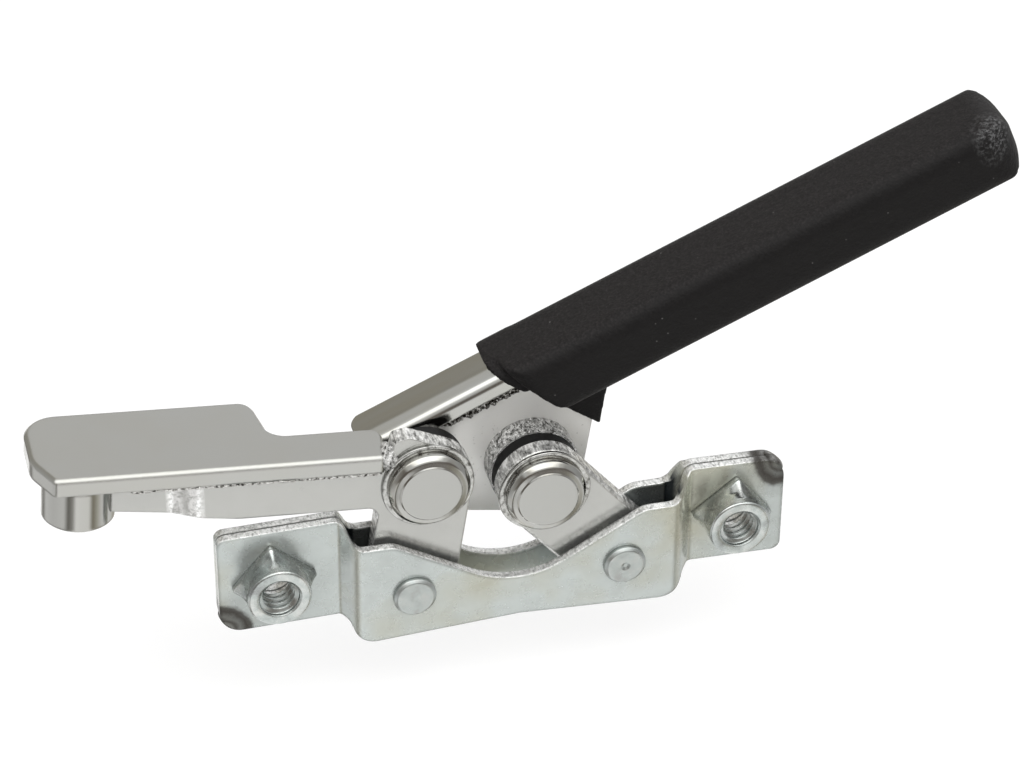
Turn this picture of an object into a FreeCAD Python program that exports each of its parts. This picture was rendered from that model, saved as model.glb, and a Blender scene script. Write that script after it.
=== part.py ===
"""Over-centre hook latch with a welded pocket bracket, a hook arm, a link and a dipped lever.

Millimetres, +Z up, +X along the bracket and -Y towards the front. The origin is midway
between the two mounting holes, on the plane where the two bracket plates meet.
Every moving piece is drawn straight in its own frame and then turned to the pose at rest.
"""
import FreeCAD
import Part
import math
import os

Vector = FreeCAD.Vector

# Bracket: two pressed plates, mirrored about the plane where their ears meet
hole_spacing = 76.2
bracket_sheet = 1.6
ear_margin = 8.9
ear_reach = hole_spacing / 2 + ear_margin
ear_top = 9.3
ear_bottom = -8.9
ear_droop = 0.4
ear_corner = 1.6
welded_corner = 3.6
pocket_half_width = 2.5
centre_shift = 1.8
joggle_room = 11.5
joggle_start = hole_spacing / 2 - joggle_room
joggle_slope = 48.0
joggle_bend = 1.7
pocket_top = 4.4
pocket_slope = 29.7
dip_bottom = -5.1
dip_radius = 15.6
keel_height = -12.5
keel_fall = 1.5
keel_corner = 3.8
shoulder_radius = 2.0
bolt_clearance = 0.35

# Weld nuts, 1/4 inch thread
thread_major = 6.35
thread_minor = 5.2
nut_side = 9.9
nut_collar = 10.3
nut_flange = 1.1
nut_shoulder = 3.9
nut_height = 5.4
nut_corner = 0.35
nut_edge = 0.35
nut_lead_in = 0.55
left_nut_turn = -4.0
right_nut_turn = 6.5

# Pivots fixed in the bracket
pivot_room = 9.05
pivot_half_spacing = joggle_start - pivot_room
pivot_height = -5.5
pivot_head = 7.0
pivot_head_height = 1.1
pivot_head_bevel = 0.25
pivot_shank = 4.8
pivot_shoulder = 6.4
pivot_washer = 12.0
side_play = 0.05
running_fit = 0.05
seat_fit = 0.02

# Linkage lengths and the pose at rest
plate_thickness = 3.2
arm_leg = 19.94
arm_leg_angle = 81.6
lever_crank = 19.65
lever_crank_angle = -13.2
arm_rise = 4.7
lever_rise = 23.8
open_pivot_drift = 1.25

# Large rivets that join the lever to the arm and to the link
rivet_head = 13.3
rivet_flat = 10.7
rivet_head_height = 2.3
rivet_shank = 6.6
rivet_washer = 15.1
rivet_washer_thickness = 0.7
black_washer = 14.4
black_washer_thickness = 2.4
link_spacer = 15.0
arm_spacer = 10.4
lever_gap = 6.4
rear_washer_thickness = 0.8
rear_head_height = 1.4
rear_edge = 0.4
arm_rear_washer = 9.6
arm_rear_head = 8.8
link_rear_washer = 15.6
link_rear_head = 11.0

# Hook arm: an upright web under a flat top plate, with a round boss below its tip
leg_half_width = 7.3
web_depth = 3.95
web_tip_rise = 2.5
web_tip_taper = 17.0
web_jog = 1.4
web_jog_place = 38.5
web_jog_run = 4.5
web_shoulder_height = 9.0
web_shoulder_place = 3.6
web_crown_fall = 20.0
top_plate_underside = 3.25
top_plate_thickness = 3.0
top_plate_edge = 0.5
top_plate_front = 2.3
top_plate_tip = 62.2
top_plate_end = 7.4
top_plate_wide = 16.0
top_plate_narrow = 6.0
top_plate_step = 25.3
boss_diameter = 11.5
boss_inset = 7.5
boss_place = top_plate_tip - boss_inset
boss_edge = 0.4
seam_leg = 0.6
end_weld_radius = 1.5
washer_edge = 0.15
weld_clearance = 0.15

# Link: a straight bar with round ends
link_half_width = 7.3
link_edge = 0.5

# Lever: a folded channel welded over a side plate, wider and deeper under its vinyl grip
channel_sheet = 1.6
channel_top = 6.8
channel_front = 3.4
channel_back = 15.8
channel_bend = 2.4
channel_tip = 101.5
channel_start = 20.0
skirt_bottom = -2.55
skirt_start = 25.5
skirt_corner = 4.0
roof_bend = 1.9
roof_strip = 3.2
roof_strip_fall = 1.1
roof_back = 14.5
roof_end = 34.0
lip_bottom = 2.8
lip_start = 5.6
lip_corner = 2.4
nose_reach = 7.2
nose_corner = 2.6
side_plate_left = 10.4
side_plate_below = 11.8
side_plate_beyond = 9.7
side_plate_lean = 57.8
side_plate_keel = -33.8
side_plate_corner = 8.6
side_plate_fillet = 7.0
side_plate_tail = 39.0
lever_weld_leg = 1.0
vinyl_wall = 1.3
vinyl_end = 6.6
vinyl_round = 3.2
vinyl_tip_round = 4.8
vinyl_tip_plan_round = 6.0
vinyl_dip = 17.0
vinyl_dip_height = 7.0
vinyl_dip_lean = 0.6
vinyl_skin = 1.2
vinyl_skin_reach = 11.5
groove_start = 42.0
groove_end = 8.0

# Places worked out from the values above
half_sheet = bracket_sheet / 2
bracket_face = pocket_half_width + bracket_sheet
web_half = plate_thickness / 2
mid_x = centre_shift
arm_pivot = (mid_x - pivot_half_spacing, pivot_height)
link_pivot = (mid_x + pivot_half_spacing, pivot_height)


def along(start, length, degrees):
    """The point at a length and a direction from a start, in the XZ plane."""
    turn = math.radians(degrees)
    return (start[0] + length * math.cos(turn), start[1] + length * math.sin(turn))


arm_lever_pivot = along(arm_pivot, arm_leg, arm_leg_angle)
link_lever_pivot = along(arm_lever_pivot, lever_crank, lever_crank_angle)
link_direction = math.degrees(math.atan2(link_pivot[1] - link_lever_pivot[1],
                                         link_pivot[0] - link_lever_pivot[0]))
link_length = math.hypot(link_pivot[0] - link_lever_pivot[0],
                         link_pivot[1] - link_lever_pivot[1])
lever_face = web_half + lever_gap
roof_front = lever_face - channel_sheet


def rounded_wire(corners, place):
    """A closed wire through (a, b, radius) corners, with each corner rounded by an arc."""
    count = len(corners)
    starts, mids, ends = [], [], []
    for index in range(count):
        before, here, after = corners[index - 1], corners[index], corners[(index + 1) % count]
        back = Vector(before[0] - here[0], before[1] - here[1], 0).normalize()
        ahead = Vector(after[0] - here[0], after[1] - here[1], 0).normalize()
        point = Vector(here[0], here[1], 0)
        half_angle = back.getAngle(ahead) / 2
        radius = here[2]
        straight = abs(half_angle - math.pi / 2) < 1e-6
        if radius == 0 or straight:
            starts.append(point)
            mids.append(None)
            ends.append(point)
            continue
        reach = radius / math.tan(half_angle)
        bisector = (back + ahead).normalize()
        starts.append(point + back * reach)
        mids.append(point + bisector * (radius / math.sin(half_angle) - radius))
        ends.append(point + ahead * reach)
    edges = []
    for index in range(count):
        if mids[index] is not None:
            arc = Part.Arc(place(starts[index]), place(mids[index]), place(ends[index]))
            edges.append(arc.toShape())
        leave, arrive = ends[index], starts[(index + 1) % count]
        if (arrive - leave).Length > 1e-6:
            edges.append(Part.LineSegment(place(leave), place(arrive)).toShape())
    return Part.Wire(edges)


def side_plate_solid(corners, front, thickness):
    """A flat plate with an outline of (x, z, radius) corners, from y = front backwards."""
    wire = rounded_wire(corners, lambda p: Vector(p.x, front, p.y))
    return Part.Face(wire).extrude(Vector(0, thickness, 0))


def plan_solid(corners, bottom, height):
    """A solid with a plan of (x, y, radius) corners, from z = bottom upwards."""
    wire = rounded_wire(corners, lambda p: Vector(p.x, p.y, bottom))
    return Part.Face(wire).extrude(Vector(0, 0, height))


def section_solid(corners, start, length):
    """A solid with a section of (y, z, radius) corners, drawn out along +X from x = start."""
    wire = rounded_wire(corners, lambda p: Vector(start, p.x, p.y))
    return Part.Face(wire).extrude(Vector(length, 0, 0))


def turned(corners, centre):
    """A turned solid about the Y line through centre, from (radius, y, corner) corners."""
    wire = rounded_wire(corners, lambda p: Vector(p.x, p.y, 0))
    solid = Part.Face(wire).revolve(Vector(0, 0, 0), Vector(0, 1, 0), 360)
    solid.translate(Vector(centre[0], 0, centre[1]))
    return solid


def pin(radius, front, back, centre):
    """A plain cylinder along Y between two planes."""
    return Part.makeCylinder(radius, back - front, Vector(centre[0], front, centre[1]),
                             Vector(0, 1, 0))


def washer(outer, inner, front, back, centre):
    """A flat ring along Y between two planes."""
    return turned([(inner, front, 0), (outer, front, 0), (outer, back, 0), (inner, back, 0)],
                  centre)


def eased_washer(outer, inner, front, back, centre):
    """A flat ring whose front rim is broken by a small bevel."""
    edge = washer_edge
    return turned([(inner, front, 0), (outer - edge, front, 0), (outer, front + edge, 0),
                   (outer, back, 0), (inner, back, 0)], centre)


def placed(shape, pivot, degrees):
    """Turns a shape drawn about the origin by an angle seen from the front, then carries it to a pivot."""
    moved = shape.copy()
    moved.rotate(Vector(0, 0, 0), Vector(0, -1, 0), degrees)
    moved.translate(Vector(pivot[0], 0, pivot[1]))
    return moved


def bracket_outline():
    """Corners of a bracket plate seen from the front."""
    step = joggle_run()
    flat_end = joggle_start
    ear_start = joggle_start + step
    slope = math.tan(math.radians(pocket_slope))
    crest = dip_bottom + dip_radius - dip_radius / math.cos(math.radians(pocket_slope))
    shoulder = (pocket_top - crest) / slope
    dip_corner = crest
    left_ear, right_ear = -ear_reach, ear_reach
    keel_end = joggle_start + step * 0.45
    keel_low = keel_height - keel_fall
    return [
        (left_ear, ear_top - ear_droop, ear_corner),
        (mid_x - ear_start, ear_top, shoulder_radius),
        (mid_x - flat_end, pocket_top, shoulder_radius),
        (mid_x - shoulder, pocket_top, shoulder_radius * 2),
        (mid_x, dip_corner, dip_radius),
        (mid_x + shoulder, pocket_top, shoulder_radius * 2),
        (mid_x + flat_end, pocket_top, shoulder_radius),
        (mid_x + ear_start, ear_top, shoulder_radius),
        (right_ear, ear_top - ear_droop, welded_corner),
        (right_ear, ear_bottom - ear_droop, ear_corner),
        (mid_x + keel_end, ear_bottom, shoulder_radius),
        (mid_x + keel_end, keel_low, keel_corner),
        (mid_x, keel_height, 0),
        (mid_x - keel_end, keel_low, keel_corner),
        (mid_x - keel_end, ear_bottom, shoulder_radius),
        (left_ear, ear_bottom - ear_droop, welded_corner),
    ]


def joggle_run():
    """How far along X the sheet travels while it steps out to the pocket."""
    return pocket_half_width / math.tan(math.radians(joggle_slope))


def sheet_path(offset, beyond):
    """The bent sheet's path in plan, moved sideways by an offset, as (x, y, bend) corners."""
    mitre = offset * math.tan(math.radians(joggle_slope / 2))
    ear_y = -half_sheet - offset
    pocket_y = -half_sheet - pocket_half_width - offset
    outer_bend = joggle_bend + offset
    inner_bend = joggle_bend - offset
    flat_end = joggle_start + mitre
    ear_start = joggle_start + joggle_run() + mitre
    return [
        (-beyond, ear_y, 0),
        (mid_x - ear_start, ear_y, inner_bend),
        (mid_x - flat_end, pocket_y, outer_bend),
        (mid_x + flat_end, pocket_y, outer_bend),
        (mid_x + ear_start, ear_y, inner_bend),
        (beyond, ear_y, 0),
    ]


def front_bracket_plate():
    """One pressed plate: the bent sheet cut to its outline, then drilled."""
    beyond = ear_reach + 5
    front_side = sheet_path(half_sheet, beyond)
    back_side = sheet_path(-half_sheet, beyond)
    deep = keel_height - keel_fall - 5
    sheet = plan_solid(front_side + back_side[::-1], deep, ear_top + 5 - deep)
    blank = side_plate_solid(bracket_outline(), -bracket_face - 2, bracket_face + 4)
    plate = sheet.common(blank)
    for x in (-hole_spacing / 2, hole_spacing / 2):
        plate = plate.cut(pin(thread_major / 2 + bolt_clearance, -bracket_face, 1, (x, 0)))
    for centre in (arm_pivot, link_pivot):
        plate = plate.cut(pin(pivot_shank / 2 + seat_fit, -bracket_face - 1, 1, centre))
    return plate.removeSplitter()


def mirrored(shape):
    """The same shape on the other side of the plane where the plates meet."""
    return shape.mirror(Vector(0, 0, 0), Vector(0, 1, 0))


def corner_weld(x_side, z_side):
    """A low bead that runs across both plates round a welded ear corner."""
    rim = ear_top if z_side > 0 else ear_bottom
    inboard = mid_x + x_side * (joggle_start + joggle_run())
    slope = -ear_droop / (x_side * ear_reach - inboard)
    centre_x = x_side * (ear_reach - welded_corner)
    edge_z = rim - ear_droop - slope * x_side * welded_corner
    centre = (centre_x, edge_z - z_side * welded_corner / math.cos(math.atan(slope)))
    proud = 0.35
    inner = welded_corner + weld_clearance / 3
    bead = turned([(inner, -bracket_sheet + 0.2, 0),
                   (welded_corner + proud, -bracket_sheet + 0.2, 0),
                   (welded_corner + proud, bracket_sheet - 0.2, 0),
                   (inner, bracket_sheet - 0.2, 0)], centre)
    wedge = [(centre[0], centre[1], 0),
             (centre[0] + x_side * 9, centre[1] + z_side * 2.0, 0),
             (centre[0] + x_side * 9, centre[1] + z_side * 9, 0),
             (centre[0] + x_side * 2.0, centre[1] + z_side * 9, 0)]
    return bead.common(side_plate_solid(wedge, -bracket_sheet, 2 * bracket_sheet))


def weld_nut(x, turn):
    """A square nut on its corner whose sides rise and round off into a collar."""
    def square(y):
        half = nut_side / 2
        corners = [(half, half, nut_corner), (-half, half, nut_corner),
                   (-half, -half, nut_corner), (half, -half, nut_corner)]
        return rounded_wire(corners, lambda p: Vector(p.x, y, p.y))

    seat = -bracket_sheet
    base = Part.Face(square(seat - nut_flange)).extrude(Vector(0, nut_flange, 0))
    collar_radius = nut_collar / 2
    corner_reach = nut_side / math.sqrt(2)
    shoulder = Part.makeCone(collar_radius, corner_reach, nut_shoulder - nut_flange,
                             Vector(0, seat - nut_shoulder, 0), Vector(0, 1, 0))
    collar = turned([(0, seat, 0), (collar_radius, seat, 0),
                     (collar_radius, seat - nut_height + nut_edge, 0),
                     (collar_radius - nut_edge, seat - nut_height, 0),
                     (0, seat - nut_height, 0)], (0, 0))
    spiked = shoulder.common(Part.Face(square(seat - nut_height)).extrude(
        Vector(0, nut_height, 0)))
    nut = base.fuse([spiked, collar]).removeSplitter()
    minor = thread_minor / 2
    mouth = thread_major / 2 + 0.15
    bore = pin(minor, seat - nut_height - 1, 1, (0, 0))
    flare = Part.makeCone(mouth, minor, nut_lead_in, Vector(0, seat - nut_height, 0),
                          Vector(0, 1, 0))
    nut = nut.cut(bore).cut(flare)
    return placed(nut, (x, 0), 45 - turn)


def pivot_rivet(centre):
    """A shouldered rivet: low bevelled heads outside the plates, a thick middle between them."""
    head, shank, shoulder = pivot_head / 2, pivot_shank / 2, pivot_shoulder / 2
    face = bracket_face
    top = face + pivot_head_height
    bevel = pivot_head_bevel
    inside = pocket_half_width
    return turned([
        (0, -top, 0), (head - bevel, -top, 0), (head, -top + bevel * 2, 0), (head, -face, 0),
        (shank, -face, 0), (shank, -inside, 0), (shoulder, -inside, 0), (shoulder, inside, 0),
        (shank, inside, 0), (shank, face, 0), (head, face, 0), (head, top - bevel * 2, 0),
        (head - bevel, top, 0), (0, top, 0)], centre)


def pocket_washers(centre):
    """Two thrust washers that keep a swinging plate in the middle of the pocket."""
    inner = pivot_shoulder / 2 + running_fit
    near = web_half + side_play
    back = washer(pivot_washer / 2, inner, near, pocket_half_width, centre)
    front = washer(pivot_washer / 2, inner, -pocket_half_width, -near, centre)
    return Part.makeCompound([front, back])


def big_rivet(centre, rear_washer_face, rear_head):
    """A turned rivet: a deep front head that steps in round its flat top, and a low rear head."""
    face = -web_half - rivet_washer_thickness
    top = face - rivet_head_height
    head, flat, shank = rivet_head / 2, rivet_flat / 2, rivet_shank / 2
    edge = head - flat
    rear = rear_washer_face + rear_head_height
    return turned([
        (0, top, 0), (flat, top, 0), (flat + edge * 0.65, top + edge * 0.35, 0),
        (head, top + edge, 0), (head, face, 0), (shank, face, 0),
        (shank, rear_washer_face, 0), (rear_head / 2, rear_washer_face, 0),
        (rear_head / 2, rear - rear_edge, 0), (rear_head / 2 - rear_edge, rear, 0),
        (0, rear, 0)], centre)


def arm_web():
    """The upright web: a leg down to the pivot and an arm out to the boss, with its tip set back."""
    crown = leg_half_width + 0.3
    leg_turn = math.degrees(math.atan2(leg_foot()[1], leg_foot()[0])) + 90
    foot = leg_foot()
    side = leg_half_width
    ahead = (math.cos(math.radians(leg_turn)), math.sin(math.radians(leg_turn)))
    down = (ahead[1], -ahead[0])

    def leg_point(across, below):
        return (across * ahead[0] + below * down[0], across * ahead[1] + below * down[1])

    length = math.hypot(foot[0], foot[1])
    lower_left = leg_point(-side, length + side)
    lower_right = leg_point(side, length + side)
    inner = leg_point(-side, web_depth)
    upper_right = leg_point(side, -crown)
    crown_drop = math.tan(math.radians(web_crown_fall))
    crown_end = web_shoulder_height - crown_drop * (upper_right[0] + web_shoulder_place)
    tip = boss_place - boss_diameter / 4
    corners = [
        (-tip, top_plate_underside, 0),
        (-top_plate_end + 0.9, top_plate_underside, 0),
        (-top_plate_end + 1.5, web_shoulder_height - 0.6, 0.8),
        (-web_shoulder_place, web_shoulder_height, 1.0),
        (upper_right[0], crown_end, 6.4),
        (lower_right[0], lower_right[1], side * 0.98),
        (lower_left[0], lower_left[1], side * 0.98),
        (inner[0], -web_depth, 1.8),
        (-web_jog_place + web_tip_taper / 2, -web_depth, 14.0),
        (-tip, -web_depth + web_tip_rise, 0),
    ]
    blank = side_plate_solid(corners, -web_half - 1, plate_thickness + web_jog + 2)
    start = web_jog_place - web_jog_run / 2
    end = web_jog_place + web_jog_run / 2
    front_side = [(-tip - 1, -web_half + web_jog, 0), (-end, -web_half + web_jog, 2.0),
                  (-start, -web_half, 5.0), (20, -web_half, 0)]
    back_side = [(-tip - 1, web_half + web_jog, 0), (-end, web_half + web_jog, 5.0),
                 (-start, web_half, 2.0), (20, web_half, 0)]
    sheet = plan_solid(front_side + back_side[::-1], -50, 100)
    web = blank.common(sheet)
    web = web.cut(pin(pivot_shoulder / 2 + running_fit, -9, 9, foot))
    web = web.cut(pin(rivet_shank / 2 + seat_fit, -9, 9, (0, 0)))
    return web.cut(boss_blank(seat_fit)).removeSplitter()


def leg_foot():
    """The bracket pivot seen from the arm's own frame, whose origin is the lever pivot."""
    turn = math.radians(arm_leg_angle + 180 + arm_rise)
    return (arm_leg * math.cos(turn), arm_leg * math.sin(turn))


def boss_blank(grow):
    """The boss as a plain cylinder, drawn a little larger where it has to clear."""
    radius = boss_diameter / 2 + grow
    centre_y = -top_plate_front + boss_diameter / 2
    height = top_plate_underside + web_depth
    return Part.makeCylinder(radius, height, Vector(-boss_place, centre_y, -web_depth))


def locating_boss():
    """The round boss under the tip, with its lower edge eased."""
    boss = boss_blank(0)
    rim = [edge for edge in boss.Edges
           if edge.BoundBox.ZMax < -web_depth + 0.01 and edge.Curve.TypeId == "Part::GeomCircle"]
    return boss.makeChamfer(boss_edge, rim)


def arm_top_plate():
    """The flat top plate: wide over the hook, stepped in where the lever's nose passes."""
    front = -top_plate_front
    corners = [
        (-top_plate_tip + 3.0, front, 1.0),
        (-top_plate_end, front, 0.5),
        (-top_plate_end + 1.2, top_plate_narrow, 2.2),
        (-top_plate_step + 1.2, top_plate_narrow, 3.2),
        (-top_plate_step - 0.4, top_plate_wide, 2.6),
        (-top_plate_tip, top_plate_wide, 5.4),
        (-top_plate_tip, 3.6, 6.0),
    ]
    plate = plan_solid(corners, top_plate_underside, top_plate_thickness)
    upper = [edge for edge in plate.Edges
             if edge.BoundBox.ZMin > top_plate_underside + top_plate_thickness - 0.01]
    plate = plate.makeChamfer(top_plate_edge, upper)
    crown = pin(leg_half_width + 0.4, -web_half - seat_fit, web_half + seat_fit, (0, 0))
    return plate.cut(crown)


def arm_seam_weld():
    """A slim bead in the corner under the top plate's front edge."""
    top = top_plate_underside
    corners = [(-web_half, top, 0), (-web_half - seam_leg, top, 0.1),
               (-web_half, top - seam_leg, 0.1)]
    length = web_jog_place - web_jog_run - top_plate_end
    return section_solid(corners, -top_plate_end - length, length)


def arm_end_weld():
    """A rounded blob that closes the joint between the top plate's end and the web's shoulder."""
    centre = (-top_plate_end + 0.3, top_plate_underside + top_plate_thickness * 0.75)
    reach = web_half + 0.9
    full = end_weld_radius
    blob = turned([(0, -reach, 0), (full * 0.6, -reach, 0), (full, -reach + 0.6, 0),
                   (full, reach - 0.6, 0), (full * 0.6, reach, 0), (0, reach, 0)], centre)
    keep_out = pin(rivet_washer / 2 + weld_clearance, -9, 9, (0, 0))
    return blob.cut(arm_web()).cut(arm_top_plate()).cut(keep_out)


def link_plate():
    """The link drawn from the lever pivot along +X, with eased front edges."""
    half = link_half_width
    corners = [(-half, half, half * 0.98), (-half, -half, half * 0.98),
               (link_length + half, -half, half * 0.98),
               (link_length + half, half, half * 0.98)]
    plate = side_plate_solid(corners, -web_half, plate_thickness)
    front = [edge for edge in plate.Edges if edge.BoundBox.YMax < -web_half + 0.01]
    plate = plate.makeChamfer(link_edge, front)
    plate = plate.cut(pin(rivet_shank / 2 + seat_fit, -9, 9, (0, 0)))
    return plate.cut(pin(pivot_shoulder / 2 + running_fit, -9, 9, (link_length, 0)))


def lever_crank_place():
    """The link's pivot seen from the lever's own frame, whose origin is the arm's pivot."""
    return along((0, 0), lever_crank, lever_crank_angle - lever_rise)


def right_edge_line(grow):
    """A point and a direction of the side plate's right edge, moved outwards by grow."""
    turn = math.radians(side_plate_lean)
    lean = (math.cos(turn), math.sin(turn))
    crank = lever_crank_place()
    reach = side_plate_beyond + grow
    return (crank[0] + lean[1] * reach, crank[1] - lean[0] * reach), lean


def lever_side_plate():
    """The plate that carries both large rivets and hangs below the channel."""
    turn = math.radians(side_plate_keel)
    keel = (math.cos(turn), math.sin(turn))
    keel_point = (keel[1] * side_plate_below, -keel[0] * side_plate_below)
    lean_point, lean = right_edge_line(0)
    low_right = crossing(keel_point, keel, lean_point, lean)
    low_left = crossing(keel_point, keel, (-side_plate_left, 0), (0, 1))
    up_right = crossing(lean_point, lean, (0, skirt_bottom), (1, 0))
    top = channel_top - channel_sheet - roof_strip_fall - running_fit
    corners = [
        (-nose_reach + 0.6, top, 0),
        (-side_plate_left, 1.0, 5.0),
        (low_left[0], low_left[1], side_plate_corner),
        (low_right[0], low_right[1], side_plate_corner),
        (up_right[0], skirt_bottom, side_plate_fillet),
        (side_plate_tail, skirt_bottom, 0),
        (side_plate_tail, top, 0),
    ]
    plate = side_plate_solid(corners, lever_face, plate_thickness)
    plate = plate.cut(pin(rivet_shank / 2 + running_fit, 0, 30, (0, 0)))
    slack = rivet_shank / 2 + open_pivot_drift
    return plate.cut(pin(slack, 0, 30, lever_crank_place()))


def crossing(point, direction, other_point, other_direction):
    """Where two lines in the XZ plane cross."""
    gap_x = other_point[0] - point[0]
    gap_z = other_point[1] - point[1]
    across = direction[0] * other_direction[1] - direction[1] * other_direction[0]
    reach = (gap_x * other_direction[1] - gap_z * other_direction[0]) / across
    return (point[0] + direction[0] * reach, point[1] + direction[1] * reach)


def lever_roof():
    """The bare end of the channel: a strip with its front margin bent down into a lip."""
    top, under = channel_top, channel_top - channel_sheet
    fold = roof_front + roof_strip
    edge_top, edge_under = top - roof_strip_fall, under - roof_strip_fall
    section = [
        (roof_front, lip_bottom, 0.2), (roof_front, edge_top, roof_bend), (fold, top, 3.0),
        (roof_back, top, 0.4), (roof_back, under, 0), (fold, under, 3.0),
        (lever_face, edge_under, 0), (lever_face, lip_bottom, 0),
    ]
    strip = section_solid(section, -nose_reach, nose_reach + roof_end)
    plan = [(-nose_reach, roof_front, nose_corner), (roof_end, roof_front, 0),
            (roof_end, roof_back, 0), (-nose_reach, roof_back, nose_corner)]
    strip = strip.common(plan_solid(plan, -40, 80))
    bare_under = edge_under - 0.05
    notch = side_plate_solid([
        (-nose_reach - 1, bare_under, 0), (-nose_reach - 1, lip_bottom - 1, 0),
        (lip_start, lip_bottom - 1, 0), (lip_start, bare_under, lip_corner)], 0, 30)
    return strip.cut(notch)


def grip_envelope(grow, end, side_corner, plan_corner):
    """The grip's outer shape from the side and from above, moved outwards by grow and end."""
    start, tip = channel_start - grow, channel_tip + end
    top, bottom = channel_top + grow, skirt_bottom - grow
    front, back = channel_front - grow, channel_back + grow
    view = side_plate_solid([
        (start, top, 0), (tip, top, side_corner), (tip, bottom, side_corner),
        (skirt_start - grow / 2, bottom, skirt_corner + grow)], front - 1, back - front + 2)
    plan = plan_solid([
        (start, front, skirt_corner + grow), (tip, front, plan_corner), (tip, back, plan_corner),
        (start, back, 1.0)], -40, 80)
    return view.common(plan)


def lever_handle():
    """The folded handle: a U channel under the grip, running out into the bare strip."""
    front, back, top, wall = channel_front, channel_back, channel_top, channel_sheet
    deep = skirt_bottom - 2
    inside = channel_bend / 3
    section = [
        (front, deep, 0), (front, top, channel_bend), (back, top, channel_bend),
        (back, deep, 0), (back - wall, deep, 0), (back - wall, top - wall, inside),
        (front + wall, top - wall, inside), (front + wall, deep, 0),
    ]
    bar = section_solid(section, 0, channel_tip + 2)
    bar = bar.common(grip_envelope(0, 0, 2.0, 2.0))
    return bar.fuse(lever_roof()).removeSplitter()


def lever_weld():
    """The fillet weld along the strip's lower edge, on the face of the side plate."""
    corners = [(lever_face, lip_bottom, 0), (lever_face - lever_weld_leg, lip_bottom, 0.1),
               (lever_face, lip_bottom - lever_weld_leg, 0.1)]
    start = lip_start + 0.4
    return section_solid(corners, start, vinyl_dip + 4 - start)


def vinyl_grip():
    """The dipped coat: a rounded bar over the channel and a thin skin over the side plate's corner."""
    wall = vinyl_wall
    front, back = channel_front - wall, channel_back + wall
    top, bottom = channel_top + wall, skirt_bottom - wall
    section = [(front, bottom, vinyl_round), (front, top, vinyl_round),
               (back, top, vinyl_round), (back, bottom, vinyl_round)]
    bar = section_solid(section, 0, channel_tip + vinyl_end)
    bar = bar.common(grip_envelope(wall, vinyl_end, vinyl_tip_round, vinyl_tip_plan_round))
    sleeve_section = [(roof_front - wall, lip_bottom - wall, 1.0),
                      (roof_front - wall, top - roof_strip_fall, vinyl_round),
                      (roof_back + wall, top, vinyl_round),
                      (roof_back + wall, lip_bottom - wall, 1.0)]
    sleeve = section_solid(sleeve_section, vinyl_dip - 2, roof_end - vinyl_dip)
    lean_point, lean = right_edge_line(vinyl_skin)
    floor = skirt_bottom - vinyl_skin_reach
    low = crossing(lean_point, lean, (0, floor), (1, 0))
    high = crossing(lean_point, lean, (0, bottom), (1, 0))
    skin = side_plate_solid([
        (low[0] - 14, floor, 0), (low[0], floor, 0.8), (high[0], bottom, side_plate_fillet),
        (side_plate_tail + wall, bottom, 0), (side_plate_tail + wall, 2, 0), (low[0] - 14, 2, 0)],
        lever_face - vinyl_skin, plate_thickness + 2 * vinyl_skin)
    coat = bar.fuse([sleeve, skin])
    high_u = vinyl_dip + vinyl_dip_lean * (vinyl_dip_height - top - 5)
    low_u = vinyl_dip + vinyl_dip_lean * (vinyl_dip_height - floor + 5)
    beyond_dip = side_plate_solid([
        (high_u, top + 5, 0), (low_u, floor - 5, 0), (channel_tip + 20, floor - 5, 0),
        (channel_tip + 20, top + 5, 0)], front - 5, back - front + 10)
    coat = coat.common(beyond_dip)
    middle = (channel_front + channel_back) / 2
    half = (channel_back - channel_front) / 2 - channel_sheet - wall
    roof_under = channel_top - channel_sheet - wall
    groove = section_solid([
        (middle - half, bottom - 1, 0), (middle - half, roof_under, 0.8),
        (middle + half, roof_under, 0.8), (middle + half, bottom - 1, 0)],
        groove_start, channel_tip - groove_end - groove_start)
    coat = coat.cut(groove).cut(lever_handle()).cut(lever_side_plate()).cut(lever_weld())
    solids = sorted(coat.Solids, key=lambda solid: solid.Volume)
    return solids[-1]


def export(name, shape):
    """Writes one named piece."""
    shape.exportStep("parts/" + name + ".step")


def bracket_pieces():
    """Everything that stays with the bracket."""
    front = front_bracket_plate()
    return {
        "front_bracket_plate": front,
        "rear_bracket_plate": mirrored(front),
        "left_weld_nut": weld_nut(-hole_spacing / 2, left_nut_turn),
        "right_weld_nut": weld_nut(hole_spacing / 2, right_nut_turn),
        "ear_corner_welds": Part.makeCompound([corner_weld(-1, -1), corner_weld(1, 1)]),
        "arm_pivot_rivet": pivot_rivet(arm_pivot),
        "link_pivot_rivet": pivot_rivet(link_pivot),
        "arm_pivot_washers": pocket_washers(arm_pivot),
        "link_pivot_washers": pocket_washers(link_pivot),
    }


def spacer_ring(diameter, bore, centre):
    """The ring that fills the gap between a black washer and the lever's side plate."""
    return washer(diameter / 2, bore, web_half + black_washer_thickness, lever_face, centre)


def pivot_stack(prefix, centre, rear_washer, rear_head):
    """The large rivet of one pivot and the washers that ride with it."""
    bore = rivet_shank / 2 + seat_fit
    black_back = web_half + black_washer_thickness
    lever_back = lever_face + plate_thickness
    rear_face = lever_back + rear_washer_thickness
    return {
        prefix + "_rivet": big_rivet(centre, rear_face, rear_head),
        prefix + "_front_washer": eased_washer(rivet_washer / 2, bore,
                                               -web_half - rivet_washer_thickness, -web_half,
                                               centre),
        prefix + "_black_washer": washer(black_washer / 2, bore, web_half, black_back, centre),
        prefix + "_rear_washer": washer(rear_washer / 2, bore, lever_back, rear_face, centre),
    }


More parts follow.
